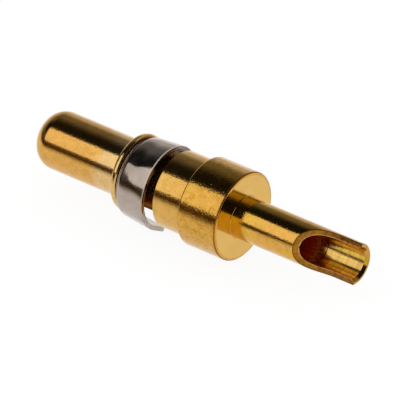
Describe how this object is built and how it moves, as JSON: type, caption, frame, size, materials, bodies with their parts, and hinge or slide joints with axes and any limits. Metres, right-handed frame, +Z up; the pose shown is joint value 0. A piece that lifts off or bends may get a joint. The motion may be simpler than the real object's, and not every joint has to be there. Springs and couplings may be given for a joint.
{
  "type": "d-sub power contact",
  "caption": "Turned pin contact with a flange, a shoulder and an open solder cup; a split spring clip in a groove retains it in a high-current D-sub connector.",
  "frame": {"origin": "on the contact's axis, in the shoulder's front face, which seats against the connector's insert", "axes": "X along the contact, -X towards the pin's nose and +X towards the solder cup; +Z up with the clip's slit facing down and the cup's opening facing -Y and a little up"},
  "size_m": [0.023, 0.0054, 0.0057],
  "materials": {
    "gold_plate": "bright gold plating over turned copper alloy",
    "bright_nickel": "bright rolled spring sheet, nickel grey"
  },
  "bodies": {
    "contact": {"contact_body": "gold_plate"},
    "clip": {"retention_clip": "bright_nickel"}
  },
  "joints": [
    {"name": "clip_turn", "type": "hinge", "parent": "contact", "child": "clip", "pos_m": [-0.00482, 0, -0.00017], "axis": [0.9999, 0, -0.0131], "continuous": true}
  ]
}
